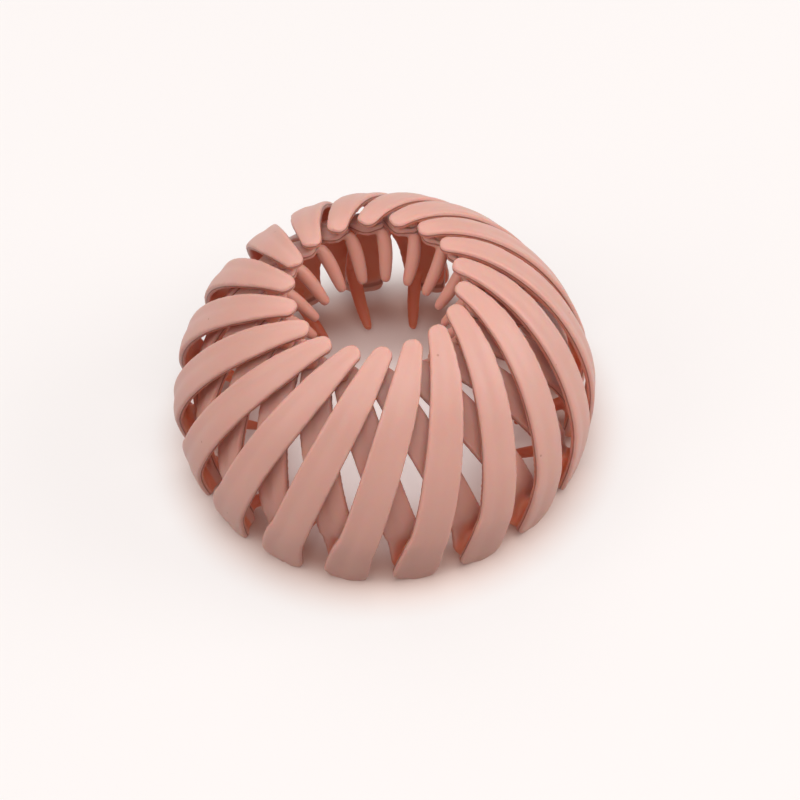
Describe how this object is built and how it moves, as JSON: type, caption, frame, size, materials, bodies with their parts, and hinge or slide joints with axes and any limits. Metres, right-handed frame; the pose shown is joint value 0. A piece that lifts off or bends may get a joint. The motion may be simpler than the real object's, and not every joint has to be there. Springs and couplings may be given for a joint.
{
  "type": "twist hair clip",
  "caption": "Domed ring of springy V-shaped plates around an open eye, with comb teeth inside, which spreads over a bun and closes to hold it.",
  "frame": {"origin": "on the clip's axis, on the surface that its heels stand on", "axes": "+Z along the clip's axis, up through the eye; -Y towards the front, where plate_01's heel stands; +X to the right"},
  "size_m": [0.0848, 0.0852, 0.046],
  "materials": {
    "plate": "satin dusty rose, slightly translucent"
  },
  "bodies": {
    "root": {"plate_01": "plate", "plate_02": "plate", "plate_03": "plate", "plate_04": "plate", "plate_05": "plate", "plate_06": "plate", "plate_07": "plate", "plate_08": "plate", "plate_09": "plate", "plate_10": "plate", "plate_11": "plate", "plate_12": "plate", "plate_13": "plate", "plate_14": "plate", "plate_15": "plate", "plate_16": "plate", "plate_17": "plate", "plate_18": "plate"}
  },
  "joints": []
}
